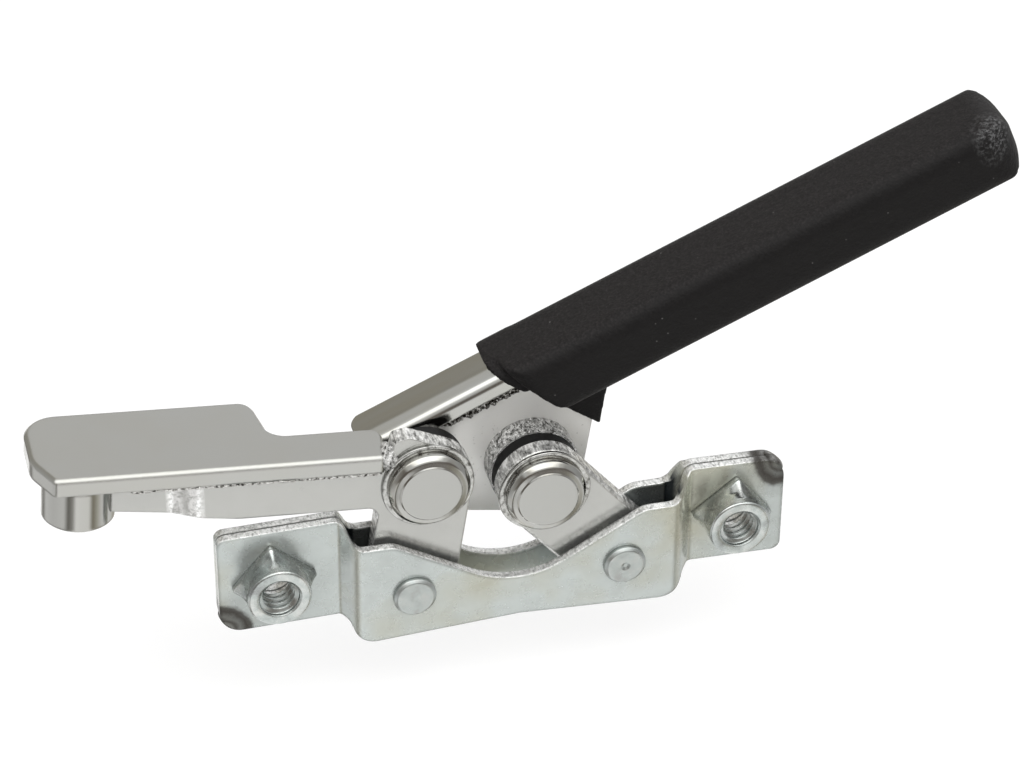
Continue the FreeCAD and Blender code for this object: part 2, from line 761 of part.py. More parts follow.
def arm_pieces():
    """Everything that swings with the hook arm."""
    drawn = {
        "hook_arm_web": arm_web(),
        "hook_arm_top_plate": arm_top_plate(),
        "locating_boss": locating_boss(),
        "arm_seam_weld": arm_seam_weld(),
        "arm_end_weld": arm_end_weld(),
    }
    pieces = {name: placed(shape, arm_lever_pivot, -arm_rise) for name, shape in drawn.items()}
    pieces.update(pivot_stack("arm_lever", arm_lever_pivot, arm_rear_washer, arm_rear_head))
    return pieces


def link_pieces():
    """Everything that swings with the link."""
    pieces = {"link_plate": placed(link_plate(), link_lever_pivot, link_direction)}
    pieces["link_lever_spacer"] = spacer_ring(link_spacer, rivet_shank / 2 + seat_fit,
                                              link_lever_pivot)
    pieces.update(pivot_stack("link_lever", link_lever_pivot, link_rear_washer, link_rear_head))
    return pieces


def lever_pieces():
    """Everything that swings with the lever."""
    ring = spacer_ring(arm_spacer, rivet_shank / 2 + running_fit, (0, 0))
    drawn = {
        "arm_lever_spacer": ring.cut(lever_roof()),
        "lever_side_plate": lever_side_plate(),
        "lever_handle": lever_handle(),
        "lever_fillet_weld": lever_weld(),
        "vinyl_grip": vinyl_grip(),
    }
    return {name: placed(shape, arm_lever_pivot, lever_rise) for name, shape in drawn.items()}


def main():
    """Builds every piece and writes it under its own name."""
    os.makedirs("parts", exist_ok=True)
    for group in (bracket_pieces(), arm_pieces(), link_pieces(), lever_pieces()):
        for name, shape in group.items():
            export(name, shape)
    print("arm pivot", arm_pivot, "link pivot", link_pivot)
    print("arm to lever", arm_lever_pivot, "link to lever", link_lever_pivot)


main()
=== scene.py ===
"""Looks of an over-centre hook latch: threads, rivets, weld beads, the dipped grip and finishes.

The frame carries the solids. The pieces made here are the threaded weld nuts, the small and the
large rivets, the thin rings below the large heads, the weld beads, the beads round two ear
corners and the soft vinyl coat. Lengths are in metres unless a comment says otherwise.
"""
import math

import bmesh
import bpy
import numpy as np
from mathutils import Matrix, Vector


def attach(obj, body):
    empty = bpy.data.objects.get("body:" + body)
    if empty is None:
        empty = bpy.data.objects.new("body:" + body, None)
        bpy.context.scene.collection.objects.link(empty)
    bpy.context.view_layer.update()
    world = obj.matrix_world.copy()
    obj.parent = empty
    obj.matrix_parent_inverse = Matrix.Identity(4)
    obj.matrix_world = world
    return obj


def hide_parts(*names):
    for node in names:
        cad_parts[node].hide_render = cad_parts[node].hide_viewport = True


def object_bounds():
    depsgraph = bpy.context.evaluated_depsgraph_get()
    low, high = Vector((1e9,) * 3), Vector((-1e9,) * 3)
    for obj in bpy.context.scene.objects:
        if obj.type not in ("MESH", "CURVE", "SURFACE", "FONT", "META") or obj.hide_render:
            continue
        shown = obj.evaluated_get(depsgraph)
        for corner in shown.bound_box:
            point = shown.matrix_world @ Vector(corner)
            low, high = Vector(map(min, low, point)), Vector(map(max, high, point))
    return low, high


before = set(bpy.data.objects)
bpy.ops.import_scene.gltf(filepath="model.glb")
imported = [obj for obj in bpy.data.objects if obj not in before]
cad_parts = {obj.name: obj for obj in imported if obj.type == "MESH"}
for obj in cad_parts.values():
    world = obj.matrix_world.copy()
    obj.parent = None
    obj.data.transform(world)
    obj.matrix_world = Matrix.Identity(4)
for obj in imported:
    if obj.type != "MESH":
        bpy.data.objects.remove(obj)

bl_info = {
    "name": "Over-centre hook latch",
    "version": (1, 0, 0),
    "blender": (4, 5, 0),
    "location": "3D View > Sidebar > Latch",
    "description": "Threads, weld beads, a dipped grip and the finishes of a hook latch",
    "category": "Object",
}

CAD_LOW, CAD_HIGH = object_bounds()

# Places in the frame. The two ear corners are (x, z), and the heat marks and the worn tip are the
# middles of painted patches.
HOLE_X = 0.0381
EAR_FACE = -0.0016
BRACKET_MIDDLE = 0.0018
ARM_LEVER_PIVOT = (-0.0128371, 0.0, 0.0142261)
LINK_LEVER_PIVOT = (0.0062937, 0.0, 0.0097390)
ARM_PIVOT = (-0.01575, 0.0, -0.0055)
LINK_PIVOT = (0.01935, 0.0, -0.0055)
LEFT_CORNER = (-0.0434, -0.005627)
RIGHT_CORNER = (0.0434, 0.005387)
CORNER_RADIUS = 0.0036
HEAT_MARKS = ((-0.0470, 0.0, -0.0093), (0.0470, 0.0, 0.0089))
WORN_TIP = (0.0803, 0.0034, 0.0622)

# The arm's and the lever's own pieces are drawn level about the pivot between the two, and are
# then turned by these degrees.
ARM_RISE = -4.7
LEVER_RISE = 23.8
SEAM_START, SEAM_END = (-0.0474, -0.00192, 0.00297), (-0.0076, -0.00192, 0.00297)
LIP_START, LIP_END = (0.0056, 0.00775, 0.0022), (0.0205, 0.00775, 0.0022)
END_WELD, END_WELD_REACH = (-0.0066, -0.0004, 0.0052), (0.0014, 0.0024, 0.0019)

# A diameter in metres times this is a radius in millimetres.
RADIUS_MM = 500.0

# The photograph's view: turns in degrees, and the lens in pixels of a picture 1024 wide.
CAMERA_AZIMUTH, CAMERA_ELEVATION, CAMERA_ROLL = -14.82, 34.0, 0.43
CAMERA_DISTANCE, CAMERA_RIGHT, CAMERA_UP = 0.5319, 0.001437, 0.02498
LENS_PIXELS, PICTURE_PIXELS, SENSOR_WIDTH = 3283.7, 1024.0, 36.0


class LatchSizes(bpy.types.PropertyGroup):
    """Sizes of the pieces that are drawn here."""
    nut_side: bpy.props.FloatProperty(
        name="Nut side", description="Side of a weld nut's square base",
        default=0.0099, unit="LENGTH", precision=5)
    nut_height: bpy.props.FloatProperty(
        name="Nut height", description="Height of a weld nut above the ear",
        default=0.0054, unit="LENGTH", precision=5)
    thread_major: bpy.props.FloatProperty(
        name="Thread major diameter", description="Widest diameter of the nut's thread",
        default=0.00635, unit="LENGTH", precision=5)
    thread_minor: bpy.props.FloatProperty(
        name="Thread minor diameter", description="Narrowest diameter of the nut's thread",
        default=0.0051, unit="LENGTH", precision=5)
    thread_pitch: bpy.props.FloatProperty(
        name="Thread pitch", description="Rise of the thread in one turn",
        default=0.00127, unit="LENGTH", precision=5)
    rivet_head: bpy.props.FloatProperty(
        name="Large rivet head", description="Diameter of a large rivet's front head",
        default=0.0133, unit="LENGTH", precision=5)
    rivet_disc: bpy.props.FloatProperty(
        name="Large rivet disc", description="Diameter of the flat disc on that head",
        default=0.0099, unit="LENGTH", precision=5)
    seam_bead: bpy.props.FloatProperty(
        name="Seam bead", description="Radius of the bead under the top plate",
        default=0.00030, unit="LENGTH", precision=5)
    lever_bead: bpy.props.FloatProperty(
        name="Lever bead", description="Radius of the bead under the channel's lip",
        default=0.00100, unit="LENGTH", precision=5)
    coat_grain: bpy.props.FloatProperty(
        name="Coat grain", description="Size of the cells that the vinyl coat is rounded with",
        default=0.00042, unit="LENGTH", precision=5)
    coat_passes: bpy.props.IntProperty(
        name="Coat passes", description="How often the vinyl coat's corners are smoothed",
        default=6, min=0)


class LatchColours(bpy.types.PropertyGroup):
    """Colours of the finishes."""
    chrome: bpy.props.FloatVectorProperty(
        name="Chrome", description="Colour that the chrome plating reflects",
        default=(0.44, 0.442, 0.425), size=3, subtype="COLOR")
    zinc: bpy.props.FloatVectorProperty(
        name="Zinc", description="Cool base colour of the zinc plating",
        default=(0.395, 0.425, 0.415), size=3, subtype="COLOR")
    zinc_tint: bpy.props.FloatVectorProperty(
        name="Zinc tint", description="Warm tint that drifts over the zinc plating",
        default=(0.40, 0.40, 0.33), size=3, subtype="COLOR")
    heat: bpy.props.FloatVectorProperty(
        name="Heat mark", description="Colour of the burnt arcs at two ear corners",
        default=(0.045, 0.041, 0.036), size=3, subtype="COLOR")
    vinyl: bpy.props.FloatVectorProperty(
        name="Vinyl", description="Colour of the dipped grip",
        default=(0.0078, 0.0069, 0.0070), size=3, subtype="COLOR")
    washer: bpy.props.FloatVectorProperty(
        name="Black washer", description="Colour of the washers behind the arm and the link",
        default=(0.004, 0.004, 0.004), size=3, subtype="COLOR")


def sizes():
    """The scene's own sizes."""
    return bpy.context.scene.latch_sizes


def colours():
    """The scene's own colours."""
    return bpy.context.scene.latch_colours


# Shapes


def swung(points, degrees, pivot=ARM_LEVER_PIVOT):
    """Turns points by an angle seen from the front, then carries them to a pivot.

    x becomes x * cos - z * sin + pivot x, y becomes y + pivot y, and z becomes
    x * sin + z * cos + pivot z.
    """
    turn = math.radians(degrees)
    x, y, z = points[..., 0], points[..., 1], points[..., 2]
    return np.stack([x * math.cos(turn) - z * math.sin(turn) + pivot[0],
                     y + pivot[1],
                     x * math.sin(turn) + z * math.cos(turn) + pivot[2]], axis=-1)


def ripple(a, b, seed):
    """A smooth uneven field: the sum of nine sines of (p * a + q * b + phase), divided by three.

    The seed gives each sine its p and q, from -1 to 1, and its phase.
    """
    count = 9
    rng = np.random.default_rng(seed)
    waves = rng.uniform(-1.0, 1.0, (count, 2))
    phases = rng.uniform(0.0, 2 * math.pi, count)
    total = np.zeros(np.broadcast(a, b).shape)
    for wave, phase in zip(waves, phases):
        total = total + np.sin(wave[0] * a + wave[1] * b + phase)
    return total / math.sqrt(count)


def full_turn(columns):
    """Even angles round a ring."""
    return np.linspace(0.0, 2 * math.pi, columns, endpoint=False)


def smoothed(mesh):
    """The mesh with smooth shading on every face."""
    mesh.polygons.foreach_set("use_smooth", np.ones(len(mesh.polygons), dtype=bool))
    return mesh


def mesh_from_grid(name, points, close_rows=False, caps=True):
    """Joins a (rows, columns, 3) grid into quads that wrap round its columns.

    The rows wrap too where asked, and flat fans cap the two ends where they don't.
    """
    rows, columns = points.shape[:2]
    index = np.arange(rows * columns).reshape(rows, columns)
    upper = np.roll(index, -1, axis=0) if close_rows else index[1:]
    lower = index if close_rows else index[:-1]
    quads = np.stack([lower, np.roll(lower, -1, axis=1), np.roll(upper, -1, axis=1), upper],
                     axis=-1)
    vertices = points.reshape(-1, 3)
    faces = quads.reshape(-1, 4).tolist()
    if caps and not close_rows:
        first, last = len(vertices), len(vertices) + 1
        vertices = np.vstack([vertices, points[0].mean(axis=0), points[-1].mean(axis=0)])
        start = np.stack([np.roll(index[0], -1), index[0], np.full(columns, first)], axis=-1)
        end = np.stack([index[-1], np.roll(index[-1], -1), np.full(columns, last)], axis=-1)
        faces = faces + start.tolist() + end.tolist()
    mesh = bpy.data.meshes.new(name)
    mesh.from_pydata(vertices.tolist(), [], faces)
    mesh.update()
    return smoothed(mesh)


def add_piece(name, mesh, look, body, stands_for):
    """Puts a mesh in the scene with a finish, on its body and in place of its nodes."""
    mesh.materials.clear()
    mesh.materials.append(finish(look))
    piece = bpy.data.objects.new(name, mesh)
    bpy.context.scene.collection.objects.link(piece)
    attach(piece, body)
    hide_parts(*stands_for)


def add_surface(name, grid, look, body, stands_for, slot, **closing):
    """Puts a grid's surface in the scene as a piece."""
    add_piece(name, mesh_from_grid(name, grid, **closing), look, body, stands_for)


def nut_grid(x, turn):
    """A square weld nut: one closed surface of revolution whose radius depends on the angle too.

    Each row is a station along the nut's section and each column an angle. On the base the
    radius is a rounded square's: side / 2 / (|cos|^n + |sin|^n)^(1/n). On the shoulder it
    falls from that square to the round collar as the height rises, faster along the flats than
    along the corners, which leaves four rising ridges. In the bore it is the minor radius plus
    a clipped triangle wave of (height / pitch + angle / full turn), which is the thread.
    """
    size = sizes()
    angle = full_turn(144)
    power = 24.0
    square = size.nut_side / 2 / (np.abs(np.cos(angle)) ** power
                                  + np.abs(np.sin(angle)) ** power) ** (1 / power)
    corner = ((square - square.min()) / (square.max() - square.min())) ** 1.4
    height = size.nut_height
    base, shoulder, collar = 0.0011, 0.0040, 0.00515
    rim_rise, rim_reach, rim_inside = 0.00045, 0.00048, collar - 0.0006
    minor, major, pitch = size.thread_minor / 2, size.thread_major / 2, size.thread_pitch
    mouth, bore_top, lead_in = major + 0.0002, height - 0.0002, 0.0007
    rows = []

    def station(radius, rise):
        """Adds a row of the section, at a radius and a height above the ear."""
        rows.append(np.stack([radius * np.cos(angle), np.full(angle.shape, -rise),
                              radius * np.sin(angle)], axis=-1))

    station(square, 0.0)
    station(square, base * 0.5)
    station(square * 0.998, base)
    for t in np.linspace(0.06, 1.0, 16):
        flat = np.minimum(1.0, t * 1.9) ** 0.85
        ridge = t ** 0.85
        share = flat * (1 - corner) + ridge * corner
        station(square * (1 - share) + collar * share, base + (shoulder - base) * t)
    for t in np.linspace(0.25, 1.0, 5):
        station(collar * (1 - 0.006 * t), shoulder + (height - rim_rise - shoulder) * t)
    for t in np.linspace(0.2, 1.0, 6):
        bend = t * math.pi / 2
        station(collar - rim_reach * (1 - math.cos(bend)),
                height - rim_rise * (1 - math.sin(bend)))
    for t in np.linspace(0.15, 1.0, 6):
        station(rim_inside - (rim_inside - mouth) * t, height - 0.00012 * t ** 3)
    for rise in np.linspace(bore_top, 0.0, 96):
        phase = (rise / pitch + angle / (2 * math.pi)) % 1.0
        wave = np.clip(1.35 - np.abs(phase - 0.5) * 3.4, 0.0, 1.0)
        lead = min(1.0, (bore_top - rise) / lead_in)
        cut = minor + (major - minor) * wave
        station(cut * lead + mouth * (1 - lead), rise)
    return swung(np.stack(rows), turn, (x, EAR_FACE, 0.0))


def bead_grid(start, end, radius, seed, roughness, pool=0.0019):
    """A weld bead: a circle carried along a straight line, its radius uneven and in even pools.

    radius * (0.85 + 0.15 * |sin(pi * distance / pool)| + roughness * ripple(distance, angle)),
    which falls to nothing at both ends by the root of the distance over the radius.
    """
    start, end = np.array(start), np.array(end)
    length = float(np.linalg.norm(end - start))
    rows = max(24, int(length / 0.00022))
    along = np.linspace(0.0, 1.0, rows)[:, None]
    angle = full_turn(20)[None, :]
    distance = along * length
    side = np.array([0.0, 1.0, 0.0])
    other = np.cross((end - start) / length, side)
    coarse, fine = 5200.0, 14000.0
    uneven = ripple(distance * coarse, 4.4 * np.sin(angle), seed)
    uneven = uneven + 0.6 * ripple(distance * fine, 5.0 * np.cos(angle), seed + 3)
    taper = np.minimum(1.0, np.minimum(along, 1 - along) * length / radius) ** 0.5
    reach = radius * taper * (0.85 + 0.15 * np.abs(np.sin(math.pi * distance / pool))
                              + roughness * uneven)
    ring = np.cos(angle)[..., None] * side + np.sin(angle)[..., None] * other
    centre = start + along[..., None] * (end - start)
    return centre + reach[..., None] * ring


def blob_grid(centre, reach, seed, roughness):
    """A lumpy ellipsoid: a latitude and longitude grid whose radius is 1 + roughness * ripple."""
    latitude = np.linspace(0.02, math.pi - 0.02, 40)[:, None]
    longitude = full_turn(56)[None, :]
    x = np.sin(latitude) * np.cos(longitude)
    y = np.cos(latitude) + 0 * longitude
    z = np.sin(latitude) * np.sin(longitude)
    uneven = ripple(4.0 * x + 3.0 * z, 5.0 * y, seed) + 0.5 * ripple(9.0 * z, 11.0 * x, seed + 1)
    unit = np.stack([x, y, z], axis=-1) * (1 + roughness * uneven)[..., None]
    return np.array(centre) + unit * np.array(reach)


def corner_bead_grid(centre, start, end, seed):
    """A low bead that runs round an ear's corner across both plates and tapers off at its ends.

    Its section is an oval about the corner's arc: outwards 0.42 mm * taper * uneven * cos, and
    along Y 1.4 mm * (0.25 + 0.75 * taper) * sin, where uneven is 1 + 0.16 * ripple.
    """
    share = np.linspace(0.0, 1.0, 72)[:, None]
    turn = np.radians(start + (end - start) * share)
    around = full_turn(28)[None, :]
    taper = np.minimum(1.0, 6.0 * np.minimum(share, 1 - share)) ** 0.6
    uneven = 1 + 0.16 * ripple(14.0 * share, 3.0 * np.sin(around), seed)
    outward = CORNER_RADIUS - 0.0001 + 0.00042 * taper * uneven * np.cos(around)
    across = -0.0014 * (0.25 + 0.75 * taper) * np.sin(around)
    return np.stack([centre[0] + outward * np.cos(turn), across + 0 * turn,
                     centre[1] + outward * np.sin(turn)], axis=-1)


def joined_mesh(mesh, other):
    """Moves a second mesh's surface into the first."""
    whole = bmesh.new()
    whole.from_mesh(mesh)
    whole.from_mesh(other)
    whole.to_mesh(mesh)
    whole.free()
    bpy.data.meshes.remove(other)
    return mesh


def rounded_line(corners):
    """A line through (a, b, radius) corners, each with a radius rounded by a circular arc.

    The arc is a rational curve of second degree: its middle weight is the sine of half the
    corner's angle.
    """
    points = []
    for index, (a, b, radius) in enumerate(corners):
        here = np.array([a, b])
        if radius == 0:
            points.append(here)
            continue
        back = np.array(corners[index - 1][:2]) - here
        ahead = np.array(corners[index + 1][:2]) - here
        back, ahead = back / np.linalg.norm(back), ahead / np.linalg.norm(ahead)
        half = math.acos(float(np.clip(back @ ahead, -1.0, 1.0))) / 2
        reach = radius / math.tan(half)
        start, end = here + back * reach, here + ahead * reach
        for t in np.linspace(0.0, 1.0, 7):
            weights = ((1 - t) ** 2, 2 * math.sin(half) * t * (1 - t), t ** 2)
            mixed = weights[0] * start + weights[1] * here + weights[2] * end
            points.append(mixed / sum(weights))
    return np.array(points)


def close_points(line, step):
    """The same line with points added so that none is further than a step from the next."""
    points = [line[0]]
    for start, end in zip(line[:-1], line[1:]):
        count = max(1, math.ceil(float(np.linalg.norm(end - start)) / step))
        for t in np.linspace(0.0, 1.0, count + 1)[1:]:
            points.append(start + (end - start) * t)
    return np.array(points)


def turned_grid(corners, pivot, columns, uneven, seed):
    """A surface of revolution about the Y line through a pivot, from (radius, y, bend) in mm.

    The radius grows and shrinks round the ring by uneven * ripple(angle, y), and less near the
    axis.
    """
    line = close_points(rounded_line(corners), 0.45) / 1000.0
    angle = full_turn(columns)[None, :]
    radius, y = line[:, :1], line[:, 1:2]
    share = np.clip(radius / 0.003 - 0.5, 0.0, 1.0)
    radius = radius + share * uneven * ripple(6.0 * np.cos(angle) + 2000.0 * y,
                                              6.0 * np.sin(angle), seed)
    return np.stack([pivot[0] + radius * np.cos(angle), pivot[1] + y + 0 * angle,
                     pivot[2] + radius * np.sin(angle)], axis=-1)


def large_rivet_corners(rear_head):
    """A large rivet's section from the rear to the front, in mm: the front head carries a disc."""
    size = sizes()
    head, disc = size.rivet_head * RADIUS_MM, size.rivet_disc * RADIUS_MM
    return [
        (0.01, 13.4, 0), (rear_head, 13.4, 0.45), (rear_head, 12.0, 0), (3.3, 12.0, 0),
        (3.3, -2.3, 0), (head, -2.3, 0), (head, -3.35, 0.75), (head - 0.75, -4.12, 0.9),
        (disc + 0.12, -4.38, 0.10), (disc - 0.10, -4.58, 0.12), (0.01, -4.6, 0),
    ]


def small_rivet_corners(dimple):
    """A small rivet's section from the rear to the front, in mm, with a dimple of that depth."""
    return [
        (0.01, 5.2, 0), (3.3, 5.2, 0.18), (3.5, 4.8, 0.15), (3.5, 4.1, 0), (2.4, 4.1, 0),
        (2.4, 2.5, 0), (3.2, 2.5, 0), (3.2, -2.5, 0), (2.4, -2.5, 0), (2.4, -4.1, 0),
        (3.5, -4.1, 0), (3.5, -4.75, 0.3), (3.0, -5.2, 0.4), (0.80, -5.18, 0.2),
        (0.35, -5.15 + dimple, 0.10), (0.01, -5.15 + dimple, 0),
    ]


def ring_corners():
    """The section of the thin ring below a large head, in mm, as one closed loop."""
    inside, outside, rear, front, bend = 3.32, 7.55, -1.6, -2.3, 0.22
    return [
        (inside, rear, 0), (outside, rear, bend), (outside, front, bend), (inside, front, 0),
        (inside, rear, 0),
    ]


def merged_copy(node, name):
    """A copy of a node's mesh with its loose triangles joined into one closed surface."""
    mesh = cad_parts[node].data.copy()
    mesh.name = name
    copy = bpy.data.objects.new(name, mesh)
    bpy.context.scene.collection.objects.link(copy)
    weld = copy.modifiers.new("Join", "WELD")
    weld.merge_threshold = 0.00001
    return copy


def add_mouth(mesh):
    """Adds the coat's full edge at its mouth, a slanted rounded bar that the remesh joins to it.

    Along the lever its two ends lie at 0.017 + 0.6 * (0.007 - height) and 6 mm further.
    """
    section = rounded_line([(9.0, 5.2, 0), (17.1, 5.2, 0.9), (17.1, 8.1, 2.9), (9.0, 8.1, 0)])
    y, rise = section[:, 0] / 1000.0, section[:, 1] / 1000.0
    rows = []
    for shift in (0.0, 0.006):
        ahead = 0.017 + 0.6 * (0.007 - rise) + shift
        rows.append(swung(np.stack([ahead, y, rise], axis=-1), LEVER_RISE))
    joined_mesh(mesh, mesh_from_grid("mouth_bar", np.stack(rows)))


def settled(copy, name):
    """Applies a copy's modifiers, removes the copy and gives the finished mesh."""
    depsgraph = bpy.context.evaluated_depsgraph_get()
    mesh = bpy.data.meshes.new_from_object(copy.evaluated_get(depsgraph), depsgraph=depsgraph)
    mesh.name = name
    bpy.data.objects.remove(copy)
    return smoothed(mesh)


# Finishes


def shaded(colour, share):
    """A colour with its channels multiplied by one number, or by one number each."""
    return tuple(np.multiply(tuple(colour), share))


def opaque(value):
    """A grey or a colour with full alpha."""
    if isinstance(value, (int, float)):
        value = (value,) * 3
    return tuple(value) + (1.0,)


class Nodes:
    """A node tree and short ways to add and join its nodes."""

    def __init__(self, tree):
        self.tree = tree
        self.tree.nodes.clear()

    def node(self, kind, **values):
        """Adds a node and sets its plain properties."""
        made = self.tree.nodes.new(kind)
        for key, value in values.items():
            setattr(made, key, value)
        return made

    def join(self, source, target):
        """Joins an output to an input, or sets the input to a number."""
        if isinstance(source, bpy.types.NodeSocket):
            self.tree.links.new(source, target)
        else:
            target.default_value = source

    def part(self, vector, axis):
        """One part of a vector, by the name or the number of its axis."""
        split = self.node("ShaderNodeSeparateXYZ")
        self.join(vector, split.inputs[0])
        return split.outputs[axis]

    def ramp(self, factor, *stops):
        """A colour ramp from (position, grey or colour) stops."""
        made = self.node("ShaderNodeValToRGB")
        self.join(factor, made.inputs["Fac"])
        elements = made.color_ramp.elements
        while len(elements) < len(stops):
            elements.new(0.5)
        for element, (position, value) in zip(elements, stops):
            element.position = position
            element.color = opaque(value)
        return made.outputs["Color"]

    def maths(self, operation, a, b=0.0, c=0.0):
        """One sum."""
        made = self.node("ShaderNodeMath", operation=operation)
        for socket, value in zip(made.inputs, (a, b, c)):
            self.join(value, socket)
        return made.outputs["Value"]

    def step(self, source, start, end, most=1.0):
        """A smooth step from 0 to a most, as a value goes from a start to an end."""
        made = self.node("ShaderNodeMapRange", interpolation_type="SMOOTHSTEP")
        self.join(source, made.inputs["Value"])
        for name, value in (("From Min", start), ("From Max", end), ("To Max", most)):
            made.inputs[name].default_value = value
        return made.outputs["Result"]

    def blended(self, factor, a, b):
        """Two colours mixed by a factor."""
        made = self.node("ShaderNodeMix", data_type="RGBA")
        self.join(factor, made.inputs[0])
        for value, socket in ((a, made.inputs[6]), (b, made.inputs[7])):
            plain = not isinstance(value, bpy.types.NodeSocket)
            self.join(opaque(value) if plain else value, socket)
        return made.outputs[2]

    def either(self, factor, first, second):
        """Two shaders mixed by a factor."""
        made = self.node("ShaderNodeMixShader")
        for source, socket in zip((factor, first, second), made.inputs):
            self.join(source, socket)
        return made.outputs[0]


class Finish(Nodes):
    """A material whose patterns lie on Object coordinates."""

    def __init__(self, name):
        self.material = bpy.data.materials.new(name)
        self.material.use_nodes = True
        super().__init__(self.material.node_tree)
        self.output = self.node("ShaderNodeOutputMaterial")
        self.shader = self.node("ShaderNodeBsdfPrincipled")
        self.join(self.shader.outputs["BSDF"], self.output.inputs["Surface"])
        self.place = self.node("ShaderNodeTexCoord").outputs["Object"]

    def noise(self, scale, detail, rough=0.5, place=None):
        """A cloudy field."""
        made = self.node("ShaderNodeTexNoise")
        self.join(place or self.place, made.inputs["Vector"])
        made.inputs["Scale"].default_value = scale
        made.inputs["Detail"].default_value = detail
        made.inputs["Roughness"].default_value = rough
        return made.outputs["Fac"]

    def stretched(self, scale):
        """Object coordinates stretched along the axes."""
        made = self.node("ShaderNodeMapping")
        self.join(self.place, made.inputs["Vector"])
        made.inputs["Scale"].default_value = scale
        return made.outputs["Vector"]

    def distance(self, point, stretch):
        """How far a place is from a point, in metres, with each axis stretched first."""
        made = self.node("ShaderNodeVectorMath", operation="SUBTRACT")
        self.join(self.place, made.inputs[0])
        made.inputs[1].default_value = point
        scaled = self.node("ShaderNodeVectorMath", operation="MULTIPLY")
        self.join(made.outputs[0], scaled.inputs[0])
        scaled.inputs[1].default_value = stretch
        length = self.node("ShaderNodeVectorMath", operation="LENGTH")
        self.join(scaled.outputs[0], length.inputs[0])
        return length.outputs["Value"]

    def facing(self, axis):
        """How squarely a surface faces along an axis, from 0 to 1."""
        normal = self.node("ShaderNodeTexCoord").outputs["Normal"]
        return self.maths("ABSOLUTE", self.part(normal, axis))

    def bump(self, height, strength, distance, eased=0.0):
        """Joins a height to the shader's normal, over edges that look rounded by a radius."""
        made = self.node("ShaderNodeBump")
        self.join(height, made.inputs["Height"])
        made.inputs["Strength"].default_value = strength
        made.inputs["Distance"].default_value = distance
        if eased:
            soft = self.node("ShaderNodeBevel", samples=6)
            soft.inputs["Radius"].default_value = eased
            self.join(soft.outputs["Normal"], made.inputs["Normal"])
        self.join(made.outputs["Normal"], self.shader.inputs["Normal"])

    def colour(self, source):
        """Joins the base colour."""
        self.join(source, self.shader.inputs["Base Color"])

    def roughness(self, source):
        """Joins the roughness."""
        self.join(source, self.shader.inputs["Roughness"])


FINISHES = {}


def finish(name):
    """A finish by its name, made when it is first asked for."""
    if name not in FINISHES:
        FINISHES[name] = MAKERS[name]()
    return FINISHES[name]


def satin_chrome():
    """Plating over a ground flat: soft reflections, a little clearer along the rounded edges."""
    made = Finish("satin_chrome")
    base = colours().chrome
    drift = made.noise(60.0, 3.0)
    warm = shaded(base, (0.985, 0.975, 0.955))
    made.colour(made.ramp(drift, (0.35, warm), (0.65, base)))
    edge = made.ramp(made.facing(1), (0.25, 1.0), (0.75, 0.0))
    flat = made.ramp(made.noise(420.0, 5.0), (0.3, 0.17), (0.75, 0.25))
    made.roughness(made.blended(edge, 0.12, flat))
    made.shader.inputs["Metallic"].default_value = 1.0
    made.bump(made.noise(1100.0, 3.0), 0.05, 0.00005, 0.0007)
    return made.material


def roof_chrome():
    """Plating over the folded channel: an olive cast, soft streaks along it and rounded edges."""
    made = Finish("roof_chrome")
    base = colours().chrome
    streak = made.noise(60.0, 4.0, 0.5, made.stretched((1.0, 5.0, 1.0)))
    warm = shaded(base, (0.97, 0.95, 0.90))
    made.colour(made.ramp(streak, (0.35, warm), (0.65, base)))
    made.roughness(made.ramp(made.noise(300.0, 5.0), (0.3, 0.10), (0.75, 0.17)))
    made.shader.inputs["Metallic"].default_value = 1.0
    made.bump(streak, 0.12, 0.00012, 0.0005)
    return made.material


def rivet_chrome():
    """Plating on the large rivets: a dull even disc inside a bright rounded rim."""
    made = Finish("rivet_chrome")
    base = colours().chrome
    face = made.ramp(made.facing(1), (0.90, 0.0), (0.985, 1.0))
    warm = shaded(base, (0.92, 0.89, 0.84))
    cloud = made.ramp(made.noise(380.0, 4.0), (0.35, warm), (0.62, base))
    made.colour(made.blended(face, cloud, base))
    made.roughness(made.blended(face, 0.07, 0.26))
    made.shader.inputs["Metallic"].default_value = 1.0
    made.bump(made.noise(420.0, 4.0), 0.26, 0.00012)
    return made.material


def ring_chrome():
    """Plating on the thin rings under the rivet heads: smooth with a few dark nicks."""
    made = Finish("ring_chrome")
    nicks = made.noise(950.0, 5.0, 0.6)
    made.colour(made.ramp(nicks, (0.33, (0.12, 0.115, 0.105)), (0.43, (0.42, 0.42, 0.405)),
                          (0.66, (0.56, 0.56, 0.545))))
    made.roughness(made.ramp(nicks, (0.3, 0.30), (0.6, 0.13)))
    made.shader.inputs["Metallic"].default_value = 1.0
    made.bump(nicks, 0.35, 0.00014)
    return made.material


